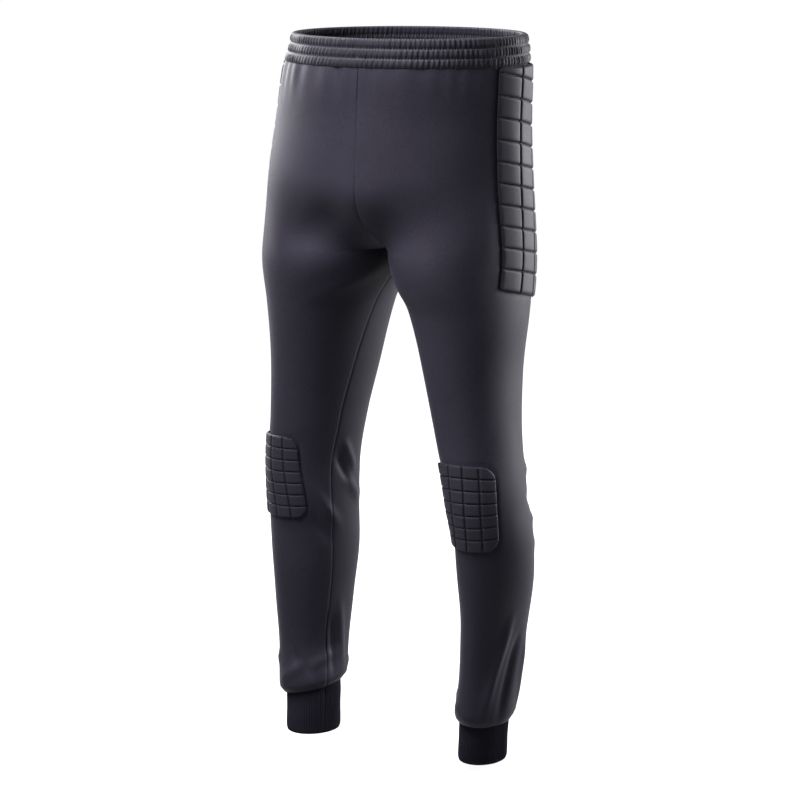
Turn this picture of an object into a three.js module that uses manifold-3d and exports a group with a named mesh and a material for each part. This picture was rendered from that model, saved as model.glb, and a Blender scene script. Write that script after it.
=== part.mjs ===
// Long knitted sports trousers with quilted hip and knee pads, as worn: upright, one leg relaxed.
// Millimetres. Origin at the middle of the waist opening, +X wearer's left, -Y front, +Z up.
import * as THREE from 'three';
import Module from 'manifold-3d';

const wasm = await Module();
wasm.setup();
const { Manifold, Mesh: SolidMesh } = wasm;

// ---- driving sizes -------------------------------------------------------------------------
const LENGTH = 967; // waistband rim to the hem of the right cuff
const LEFT_DROP = 8; // how much lower the left hem hangs
const HIP_WIDTH = 380; // across the seat
const FABRIC = 1.6; // knitted panel thickness
const GAP = 0.3; // clearance between neighbouring pieces

const BAND = { rim: 7, channels: 3, channel: 12.3, bulge: 2.2, wall: 1.2, elastic: 2.4 };
const CUFF = { height: 63, top: -899, wall: 1.5, halfWidth: 33, halfDepth: 39 };

const HIP_PAD = {
  columns: 3, rows: 10, column: 38, row: 27.5, lead: 6.5, tilt: 0.2, corner: 5,
  proud: 7, groove: 3.6, bevel: 3, bodyRadius: 77,
  centre: [[-30, 0.546], [-180, 0.535], [-330, 0.522]],
};
const KNEE_PAD = {
  columns: 5, rows: 7, column: 18.5, row: 16.2, top: -533, tilt: 0, corner: 16,
  proud: 6, groove: 2.4, bevel: 2.6, bodyRadius: 45,
  centre: [[-530, 0.275], [-650, 0.235]],
};
const SKIN = { cover: 0.8, border: 1.0, inset: 2.4, backing: 1.1, clearance: 0.7 };

// Hinges: the boundary between two bodies is an arc of this radius about the hinge axis.
const HIP_JOINT = { y: 10, z: -240, radius: 165 };
const KNEE_JOINT = { z: -590, radius: 115 };

const CROTCH = -270; // lowest point of the rise seam
const RISE = [[CROTCH, -10], [-200, -4], [0, 0]]; // [level, x] of the rise seam
const FORK = -180; // level at which the rise seam starts to turn inwards
const HIP_BLEND = [-170, -330]; // outside of the seat turns into the outside of the thigh here

// ---- body shape, nominal sizes ---------------------------------------------------------------
const NOMINAL = { length: 967, hipWidth: 380 };
const long = LENGTH / NOMINAL.length;
const wide = HIP_WIDTH / NOMINAL.hipWidth;

// [level, half width, half depth, centre x, centre y] of the trunk
const TRUNK = [
  [-400, 178, 104, -12, 3],
  [-300, 190, 131, -25, 9],
  [-200, 187, 137, -24, 11],
  [-100, 177.5, 127, -15, 6],
  [-40, 173, 121, -6, 1],
  [0, 165, 115, 0, 0],
  [20, 162, 113, 0, 0],
];
// [level, half width, half depth] of both legs
const LEG = [
  [-960, 32, 38.5], [-900, 33, 41], [-888, 37, 49], [-840, 36, 51], [-770, 40, 56],
  [-690, 45.5, 63], [-590, 47, 65], [-510, 51, 70], [-430, 60, 81], [-350, 75, 98],
];
// [level, centre x, centre y, facing in degrees] of each leg; the left knee is relaxed forwards
const LEG_LINE = {
  right: [
    [-960, -142, -24, -27], [-895, -142, -22, -27], [-830, -150, -8, -27], [-710, -147, -6, -27],
    [-590, -147, -10, -27], [-510, -140, -6, -24], [-430, -131, 0, -18], [-350, -124, 4, -8],
  ],
  left: [
    [-960, 110, 16, -8], [-895, 119, 6, -8], [-830, 129, 3, -8], [-710, 147, -16, -8],
    [-650, 151, -28, -8], [-590, 144, -34, -8], [-510, 126, -25, -7], [-430, 109, -12, -4],
    [-350, 96, -1, -2],
  ],
};
const SNUG = { right: 1.03, left: 0.965 }; // how full each leg hangs
const SIDES = ['left', 'right'];
const SIGN = { left: 1, right: -1 };
const BAND_BOTTOM = BAND.rim - BAND.channels * BAND.channel;

// ---- helpers ---------------------------------------------------------------------------------
const V = (x, y, z) => new THREE.Vector3(x, y, z);
const mix = (a, b, t) => a + (b - a) * t;
const steps = (from, to, n) => Array.from({ length: n + 1 }, (_, i) => mix(from, to, i / n));
const smooth = (a, b, x) => {
  const t = Math.min(Math.max((x - a) / (b - a), 0), 1);
  return t * t * (3 - 2 * t);
};

/** Monotone curve through rows [x, ...values]; gives the value of one column at x. */
function curve(rows, column, x) {
  const n = rows.length - 1;
  const at = Math.min(Math.max(x, rows[0][0]), rows[n][0]);
  let k = 0;
  while (k < n - 1 && at > rows[k + 1][0]) k += 1;
  const slope = (i) => (rows[i + 1][column] - rows[i][column]) / (rows[i + 1][0] - rows[i][0]);
  const tangent = (i) => {
    if (i === 0) return slope(0);
    if (i === n) return slope(n - 1);
    const [p, q] = [slope(i - 1), slope(i)];
    return p * q <= 0 ? 0 : (2 * p * q) / (p + q);
  };
  const h = rows[k + 1][0] - rows[k][0];
  const t = (at - rows[k][0]) / h;
  return (2 * t ** 3 - 3 * t ** 2 + 1) * rows[k][column] + (t ** 3 - 2 * t ** 2 + t) * h * tangent(k)
    + (3 * t ** 2 - 2 * t ** 3) * rows[k + 1][column] + (t ** 3 - t ** 2) * h * tangent(k + 1);
}

/** Trunk ellipse at a nominal level. */
function trunk(level) {
  const [a, b, x, y] = [1, 2, 3, 4].map((c) => curve(TRUNK, c, level));
  return { a, b, x, y };
}

/** Nominal level of a height; the left leg's lower end hangs deeper. */
function levelAt(side, z) {
  return z / long + (side === 'left' ? LEFT_DROP : 0) * smooth(-680, -880, z / long);
}

/** Ellipse of one side of the trunk, from the rise seam out. */
function flank(side, level) {
  const t = trunk(level);
  const [inner, outer] = [curve(RISE, 1, level), t.x + SIGN[side] * t.a];
  return { a: Math.abs(outer - inner) / 2, b: t.b * 0.92, x: (outer + inner) / 2, y: t.y, turn: 0 };
}

/** Leg ellipse at a nominal level; above the crotch each leg takes its side of the trunk. */
function leg(side, level) {
  if (level >= CROTCH) return flank(side, level);
  const tops = [CROTCH, CROTCH + 60].map((z) => ({ z, ...flank(side, z) }));
  const size = [...LEG.map(([z, a, b]) => [z, a * SNUG[side], b * SNUG[side]]),
    ...tops.map((top) => [top.z, top.a, top.b])];
  const line = [...LEG_LINE[side], ...tops.map((top) => [top.z, top.x, top.y, top.turn])];
  return {
    a: curve(size, 1, level), b: curve(size, 2, level),
    x: curve(line, 1, level), y: curve(line, 2, level), turn: curve(line, 3, level),
  };
}

/** Outside of the fabric: u runs 0..1 from the front seam round the side (0.5) to the back seam. */
function form(side, u, z) {
  const s = SIGN[side];
  const level = levelAt(side, z);
  const t = trunk(level);
  const l = leg(side, level);
  const turn = THREE.MathUtils.degToRad(l.turn);
  const [c, d] = [-l.a * Math.cos(2 * Math.PI * u) * s, l.b * Math.sin(2 * Math.PI * u)];
  const legX = l.x + c * Math.cos(turn) + d * Math.sin(turn);
  const legY = l.y + c * Math.sin(turn) - d * Math.cos(turn);
  const seam = s * Math.asin((curve(RISE, 1, level) - t.x) / t.a);
  const round = mix(seam, Math.PI - seam, u);
  const trunkX = t.x + s * t.a * Math.sin(round);
  const trunkY = t.y - t.b * Math.cos(round);
  const drop = Math.min(Math.max((FORK - level) / (FORK - CROTCH), 0), 1);
  const near = Math.exp(-((Math.min(u, 1 - u) / 0.1) ** 2)); // 1 at the rise seam
  const w = mix(1 - smooth(HIP_BLEND[1], HIP_BLEND[0], level), 1 - Math.sqrt(1 - drop ** 2), near);
  return V(mix(trunkX, legX, w) * wide + s * GAP * 0.5, mix(trunkY, legY, w) * wide, z);
}

/** Direction out of the fabric at (u, z). */
function outward(side, u, z) {
  const du = form(side, Math.min(u + 0.004, 1), z).sub(form(side, Math.max(u - 0.004, 0), z));
  const dz = form(side, u, z + 1.5).sub(form(side, u, z - 1.5));
  return du.cross(dz).multiplyScalar(SIGN[side]).normalize();
}

const raised = (side, u, z, height) => form(side, u, z).addScaledVector(outward(side, u, z), height);

// ---- solids ----------------------------------------------------------------------------------
/** Closed geometry from vertex positions and faces; turned so that it faces out. */
function closed(points, faces) {
  let volume = 0;
  faces.forEach(([a, b, c]) => {
    volume += points[a].dot(points[b].clone().cross(points[c]));
  });
  const index = faces.flatMap(([a, b, c]) => (volume > 0 ? [a, b, c] : [a, c, b]));
  const geometry = new THREE.BufferGeometry();
  geometry.setAttribute('position', new THREE.Float32BufferAttribute(
    points.flatMap((p) => p.toArray()), 3));
  geometry.setIndex(index);
  geometry.computeVertexNormals();
  return geometry;
}

/** Sheet between two equal grids of points, closed round its edge. */
function slab(outer, inner) {
  const [rows, cols] = [outer.length, outer[0].length];
  const points = [...outer.flat(), ...inner.flat()];
  const o = (j, i) => j * cols + i;
  const n = (j, i) => rows * cols + o(j, i);
  const faces = [];
  const quad = (a, b, c, d) => faces.push([a, b, c], [a, c, d]);
  for (let j = 0; j < rows - 1; j += 1) {
    for (let i = 0; i < cols - 1; i += 1) {
      quad(o(j, i), o(j, i + 1), o(j + 1, i + 1), o(j + 1, i));
      quad(n(j, i), n(j + 1, i), n(j + 1, i + 1), n(j, i + 1));
    }
    quad(o(j, 0), o(j + 1, 0), n(j + 1, 0), n(j, 0));
    quad(o(j, cols - 1), n(j, cols - 1), n(j + 1, cols - 1), o(j + 1, cols - 1));
  }
  for (let i = 0; i < cols - 1; i += 1) {
    quad(o(0, i), n(0, i), n(0, i + 1), o(0, i + 1));
    quad(o(rows - 1, i), o(rows - 1, i + 1), n(rows - 1, i + 1), n(rows - 1, i));
  }
  return closed(points, faces);
}

/** Ring whose section is a closed chain of loops. */
function ring(loops) {
  const [rows, cols] = [loops.length, loops[0].length];
  const at = (j, i) => (j % rows) * cols + (i % cols);
  const faces = [];
  for (let j = 0; j < rows; j += 1) {
    for (let i = 0; i < cols; i += 1) {
      faces.push([at(j, i), at(j, i + 1), at(j + 1, i + 1)], [at(j, i), at(j + 1, i + 1), at(j + 1, i)]);
    }
  }
  return closed(loops.flat(), faces);
}

const toSolid = (geometry) => new Manifold(new SolidMesh({
  numProp: 3,
  vertProperties: geometry.getAttribute('position').array,
  triVerts: Uint32Array.from(geometry.getIndex().array),
}));

function toGeometry(solid) {
  const mesh = solid.getMesh();
  const geometry = new THREE.BufferGeometry();
  geometry.setAttribute('position', new THREE.BufferAttribute(mesh.vertProperties, 3));
  geometry.setIndex(new THREE.BufferAttribute(mesh.triVerts, 1));
  geometry.computeVertexNormals();
  return geometry;
}

// ---- pads ------------------------------------------------------------------------------------
/** Point on a pad: across runs to the rear from its middle, height above the fabric. */
function onPad(side, pad, across, z, height) {
  const rows = [...pad.centre].reverse();
  const u = curve(rows, 1, z / long);
  const speed = form(side, u + 0.01, z).distanceTo(form(side, u - 0.01, z)) / 0.02;
  return raised(side, u + across / speed, z, height);
}

const halfWidth = (pad) => (pad.columns * pad.column) / 2;
/** How far a flat facet as wide as one block dips into the rounded body. */
const dip = (pad) => pad.column ** 2 / (8 * pad.bodyRadius * wide);

/** Level of row line j (0 is the straight upper edge). */
function rowLevel(pad, j, across) {
  const slope = pad.tilt * (across + halfWidth(pad));
  if (pad === HIP_PAD) {
    return j === 0 ? BAND_BOTTOM - 4 * GAP
      : BAND_BOTTOM - pad.lead - (slope + (j - 1) * pad.row) * long;
  }
  return (pad.top - slope - j * pad.row) * long;
}

const rowCount = (pad) => pad.rows + (pad === HIP_PAD ? 1 : 0);

/** How far a rounded corner draws the side edge in, at a depth below or above the end edge. */
function drawnIn(pad, depth) {
  const d = Math.max(pad.corner - Math.max(depth, 0), 0);
  return pad.corner - Math.sqrt(pad.corner ** 2 - d ** 2);
}

/** Grid lines of one layer: each cell gives its groove, then the edges or the ridge of its top. */
function cellLines(count, size, bevel, inset) {
  const lines = [];
  for (let k = 0; k < count; k += 1) {
    const from = k === 0 ? inset : 0;
    const to = k === count - 1 ? size - inset : size;
    const tops = bevel ? [from + bevel, to - bevel] : [(from + to) / 2];
    lines.push({ k, at: from, top: 0 }, ...tops.map((at) => ({ k, at, top: 1 })));
  }
  lines.push({ k: count - 1, at: size - inset, top: 0 });
  return lines;
}

/** Both faces of a quilted layer: low at its edge, at groove height between the blocks. */
function quilted(side, pad, layer) {
  const across = cellLines(pad.columns, pad.column, layer.bevel, layer.inset);
  const down = cellLines(rowCount(pad), 1, layer.bevel / pad.row, layer.inset / pad.row);
  const half = halfWidth(pad);
  const grid = (face) => down.map((row, j) => across.map((col, i) => {
    let a = col.k * pad.column + col.at - half;
    const z0 = mix(rowLevel(pad, row.k, a), rowLevel(pad, row.k + 1, a), row.at);
    const ends = [rowLevel(pad, 0, a) - z0, z0 - rowLevel(pad, rowCount(pad), a)];
    const limit = half - layer.inset - Math.max(...ends.map((d) => drawnIn(pad, d)));
    const outside = col.k === 0 || col.k === pad.columns - 1;
    if (outside) {
      const edge = Math.sign(a) * (half - pad.column);
      a = edge + (a - edge) * ((limit - Math.abs(edge)) / (half - layer.inset - Math.abs(edge)));
    }
    const rim = j === 0 || i === 0 || j === down.length - 1 || i === across.length - 1;
    const height = rim ? face.border : [face.groove, face.proud][row.top * col.top];
    return onPad(side, pad, a, z0, height);
  }));
  return slab(grid(layer.outer), grid(layer.inner));
}

function padPieces(side, pad) {
  const lower = (by) => ({ border: SKIN.border, groove: pad.groove - by, proud: pad.proud - by });
  const cover = {
    bevel: pad.bevel, inset: 0,
    outer: lower(0), inner: { ...lower(SKIN.cover), border: 0 },
  };
  const under = lower(SKIN.cover + dip(pad));
  const foam = {
    bevel: 0, inset: SKIN.inset,
    outer: { ...under, border: 0.3 }, inner: { border: 0, groove: 0, proud: 0 },
  };
  return { cover: quilted(side, pad, cover), foam: quilted(side, pad, foam) };
}

/** Flat layer over the pad outline, between two heights, grown by a margin (and a lift on top). */
function padOutline(side, pad, { low, high, margin, lift, across, down }) {
  const half = halfWidth(pad);
  const ends = [0, 0.05, 0.16, 0.5, 1].map((d) => (d * pad.corner) / (rowCount(pad) * pad.row));
  const stops = [...ends, ...steps(ends[4], 1 - ends[4], down).slice(1, -1),
    ...ends.map((e) => 1 - e).reverse()];
  const grid = (height) => stops.map((t) => steps(-1, 1, across).map((f) => {
    const top = rowLevel(pad, 0, f * half);
    const foot = rowLevel(pad, rowCount(pad), f * half);
    const depth = Math.min(t, 1 - t) * (top - foot);
    const a = f * (half - drawnIn(pad, depth) + margin);
    return onPad(side, pad, a, mix(top + lift, foot - margin, t), height);
  }));
  return slab(grid(high), grid(low));
}

// ---- panels ----------------------------------------------------------------------------------
const PANEL_LEVELS = [
  -60, -100, -140, -180, -205, -225, -242, -255, -264, -269, -273, -282, -300, -330, -370, -410,
  -450, -490, -530, -570, -610, -650, -700, -750, -800, -845, -875, -889, CUFF.top + 0.5,
];

/** Height of a nominal level on one side, the reverse of levelAt to within a tenth. */
function heightOf(side, level) {
  let z = level * long;
  for (let k = 0; k < 6; k += 1) z += (level - levelAt(side, z)) * long;
  return z;
}

/** One panel over the whole length, before it is cut: 'front' is u 0..0.5, 'back' the rest. */
function panel(side, face) {
  const range = face === 'front' ? [0, 0.5] : [0.5, 1];
  const heights = [BAND_BOTTOM - GAP, ...PANEL_LEVELS.map((level) => heightOf(side, level))];
  const grid = (height) => heights.map((z) => {
    const l = leg(side, levelAt(side, z));
    const trim = (GAP * 0.5) / (2 * Math.PI * Math.min(l.a, l.b) * wide);
    return steps(range[0] + trim, range[1] - trim, 12).map((u) => raised(side, u, z, height));
  });
  return toSolid(slab(grid(0), grid(-FABRIC)));
}

/** Everything below a hinge and outside the arc about its axis. */
function beyond(centre, turn, radius) {
  const reach = 400;
  const box = Manifold.cube([reach, reach, LENGTH], true)
    .translate([0, 0, -LENGTH / 2]);
  return box.subtract(Manifold.cylinder(2 * reach, radius, radius, 96, true).rotate([0, 90, 0]))
    .rotate([0, 0, turn]).translate(centre);
}

function hipArc(side, extra) {
  const middle = (curve(RISE, 1, CROTCH) + SIGN[side] * 200) * wide;
  return beyond([middle, HIP_JOINT.y * wide, HIP_JOINT.z * long], 0, HIP_JOINT.radius * wide + extra);
}

function kneeArc(side, extra) {
  const l = leg(side, KNEE_JOINT.z);
  return beyond([l.x * wide, l.y * wide, KNEE_JOINT.z * long], l.turn, KNEE_JOINT.radius + extra);
}

// ---- assembly --------------------------------------------------------------------------------
const FABRIC_LOOK = { color: 0x45414a, roughness: 0.75, metalness: 0 };
const PAD_LOOK = { color: 0x3b3840, roughness: 0.7, metalness: 0 };
const RIB_LOOK = { color: 0x1e1c22, roughness: 0.9, metalness: 0 };
const FOAM_LOOK = { color: 0x8a8a88, roughness: 0.95, metalness: 0 };
const LINING_LOOK = { color: 0x222126, roughness: 0.9, metalness: 0 };
const ELASTIC_LOOK = { color: 0xd8d6d0, roughness: 0.8, metalness: 0 };

const group = new THREE.Group();
group.name = 'padded_sports_trousers';

function add(name, geometry, look) {
  const mesh = new THREE.Mesh(geometry, new THREE.MeshStandardMaterial(look));
  mesh.name = name;
  group.add(mesh);
}

/** Loop round the waist, moved out by an offset. */
function waistLoop(offset, z) {
  const t = trunk(z / long);
  return steps(0, 2 * Math.PI, 40).slice(0, -1).map((q) => V(
    t.x * wide + (t.a * wide + offset) * Math.sin(q), t.y * wide - (t.b * wide + offset) * Math.cos(q), z,
  ));
}

function addWaistband() {
  const { rim, channels, channel, bulge, wall, elastic } = BAND;
  const outside = [];
  for (let k = 0; k < channels; k += 1) {
    const foot = BAND_BOTTOM + k * channel;
    outside.push([0, foot], [bulge, foot + channel * 0.25], [bulge, foot + channel * 0.75]);
  }
  const inside = -(2 * wall + elastic + 2 * GAP);
  const section = [...outside, [0, rim], [inside, rim], [inside, BAND_BOTTOM],
    [inside + wall, BAND_BOTTOM], [inside + wall, rim - wall], [-wall, rim - wall], [-wall, BAND_BOTTOM]];
  add('waistband_casing', ring(section.map(([offset, z]) => waistLoop(offset, z))), RIB_LOOK);

  const [near, far] = [-wall - GAP, -wall - GAP - elastic];
  const [low, high] = [BAND_BOTTOM + 1.5, rim - wall - GAP];
  add('waist_elastic', ring([[near, low], [near, high], [far, high], [far, low]]
    .map(([offset, z]) => waistLoop(offset, z))), ELASTIC_LOOK);
}

/** Loop round a cuff, moved in by an offset. */
function cuffLoop(side, inset, z) {
  const l = leg(side, levelAt(side, z));
  const turn = THREE.MathUtils.degToRad(l.turn);
  return steps(0, 2 * Math.PI, 28).slice(0, -1).map((q) => {
    const [c, d] = [(CUFF.halfWidth - inset) * Math.cos(q), (CUFF.halfDepth - inset) * Math.sin(q)];
    return V(l.x * wide + c * Math.cos(turn) + d * Math.sin(turn),
      l.y * wide + c * Math.sin(turn) - d * Math.cos(turn), z);
  });
}

/** Rib folded double at the hem, open upwards between its two layers. */
function addCuff(side) {
  const [top, hem] = [CUFF.top, CUFF.top - CUFF.height + 2].map((level) => heightOf(side, level));
  const t = CUFF.wall;
  const section = [[0, top], [0, (top + hem) / 2], [0, hem], [2 * t + 1, hem], [2 * t + 1, top],
    [t + 1, top], [t + 1, hem + t], [t, hem + t], [t, top]];
  add(`ankle_cuff_${side}`, ring(section.map(([inset, z]) => cuffLoop(side, inset, z))), RIB_LOOK);
}

function addPad(side, pad, name) {
  const pieces = padPieces(side, pad);
  const under = GAP + dip(pad);
  add(`${name}_cover_${side}`, pieces.cover, PAD_LOOK);
  add(`${name}_foam_${side}`, pieces.foam, FOAM_LOOK);
  add(`${name}_backing_${side}`,
    padOutline(side, pad, {
      low: -under - SKIN.backing, high: -under, margin: 0, lift: 0, across: 4, down: pad.rows,
    }), LINING_LOOK);
}

function addPanels(side) {
  const window = { low: -6, high: 8, margin: SKIN.clearance, across: 8 };
  const holes = [
    padOutline(side, HIP_PAD, { ...window, lift: 10, down: HIP_PAD.rows }),
    padOutline(side, KNEE_PAD, { ...window, lift: SKIN.clearance, down: KNEE_PAD.rows }),
  ].map(toSolid);
  const [seat, thigh] = [hipArc(side, 0), hipArc(side, GAP)];
  const [knee, shin] = [kneeArc(side, 0), kneeArc(side, GAP)];
  ['front', 'back'].forEach((face) => {
    const whole = holes.reduce((solid, hole) => solid.subtract(hole), panel(side, face));
    add(`${face}_seat_panel_${side}`, toGeometry(whole.subtract(seat)), FABRIC_LOOK);
    add(`${face}_thigh_panel_${side}`, toGeometry(whole.intersect(thigh).subtract(knee)), FABRIC_LOOK);
    add(`${face}_shin_panel_${side}`, toGeometry(whole.intersect(shin)), FABRIC_LOOK);
  });
}

addWaistband();
SIDES.forEach((side) => {
  addPanels(side);
  addPad(side, HIP_PAD, 'hip_pad');
  addPad(side, KNEE_PAD, 'knee_pad');
  addCuff(side);
});

export default group;
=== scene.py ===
"""Padded knitted sports trousers, worn and upright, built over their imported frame.

Every class below is one sub-assembly.  Sizes are its fields, in millimetres unless a name says
otherwise; meshes are written in metres.  The frame's axes hold: +X is the wearer's left, -Y the
front and +Z up, with the origin in the middle of the waist opening.
"""

import logging
from contextlib import contextmanager
from dataclasses import dataclass
from enum import Enum
from math import cos, pi, radians, sin
from typing import Callable, Iterator, Optional, Sequence, Union

import bmesh
import bpy
import numpy as np
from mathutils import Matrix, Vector, noise

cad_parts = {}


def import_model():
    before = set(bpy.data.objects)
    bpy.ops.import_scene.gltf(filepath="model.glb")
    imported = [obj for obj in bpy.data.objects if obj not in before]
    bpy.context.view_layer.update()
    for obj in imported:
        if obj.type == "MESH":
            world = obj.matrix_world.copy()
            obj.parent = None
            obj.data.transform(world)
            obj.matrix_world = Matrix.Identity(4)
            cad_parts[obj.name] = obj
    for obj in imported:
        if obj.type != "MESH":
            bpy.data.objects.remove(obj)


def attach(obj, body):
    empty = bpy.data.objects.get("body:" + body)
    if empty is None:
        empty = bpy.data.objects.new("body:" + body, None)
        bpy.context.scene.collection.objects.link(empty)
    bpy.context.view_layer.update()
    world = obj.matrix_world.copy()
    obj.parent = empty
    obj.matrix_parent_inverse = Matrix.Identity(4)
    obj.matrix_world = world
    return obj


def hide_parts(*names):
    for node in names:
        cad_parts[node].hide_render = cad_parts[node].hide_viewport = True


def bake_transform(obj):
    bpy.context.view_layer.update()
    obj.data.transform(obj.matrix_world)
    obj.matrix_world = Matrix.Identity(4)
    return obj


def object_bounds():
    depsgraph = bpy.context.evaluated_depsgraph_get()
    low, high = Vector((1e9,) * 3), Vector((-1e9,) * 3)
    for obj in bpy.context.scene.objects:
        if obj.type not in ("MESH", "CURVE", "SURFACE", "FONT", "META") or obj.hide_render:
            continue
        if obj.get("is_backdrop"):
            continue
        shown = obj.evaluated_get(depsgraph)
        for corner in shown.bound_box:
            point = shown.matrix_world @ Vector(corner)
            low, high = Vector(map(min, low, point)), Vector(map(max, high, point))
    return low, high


log = logging.getLogger("trousers")
Array = np.ndarray
MM = 0.001


class Side(Enum):
    """Side of the wearer; the value is the sign of X."""

    LEFT = 1
    RIGHT = -1

    @property
    def word(self) -> str:
        """The side's name as CAD nodes and bodies spell it."""
        return self.name.lower()


class Face(Enum):
    """Half of a trouser leg; the value is its span of u."""

    FRONT = (0.0, 0.5)
    BACK = (0.5, 1.0)

    @property
    def word(self) -> str:
        """The face's name as CAD nodes spell it."""
        return self.name.lower()


# ---- shape of the worn garment ----
def smooth(a: float, b: float, x: Array) -> Array:
    """Smooth step from 0 at a to 1 at b."""
    t = np.clip((x - a) / (b - a), 0.0, 1.0)
    return t * t * (3.0 - 2.0 * t)


def curve(rows: Array, column: int, x: Array) -> Array:
    """Monotone curve through the rows of a table.

    Args:
        rows: Table whose first column rises.
        column: Which column to read.
        x: Where to read it.

    Returns:
        The column's value at each x.
    """
    at, value = rows[:, 0], rows[:, column]
    h = np.diff(at)
    slope = np.diff(value) / h
    tangent = np.concatenate([slope[:1], np.zeros(len(slope) - 1), slope[-1:]])
    p, q = slope[:-1], slope[1:]
    same = p * q > 0
    tangent[1:-1][same] = 2 * p[same] * q[same] / (p[same] + q[same])
    x = np.clip(x, at[0], at[-1])
    k = np.clip(np.searchsorted(at, x, side="right") - 1, 0, len(h) - 1)
    t = (x - at[k]) / h[k]
    return (
        (2 * t**3 - 3 * t**2 + 1) * value[k]
        + (t**3 - 2 * t**2 + t) * h[k] * tangent[k]
        + (3 * t**2 - 2 * t**3) * value[k + 1]
        + (t**3 - t**2) * h[k] * tangent[k + 1]
    )


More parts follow.
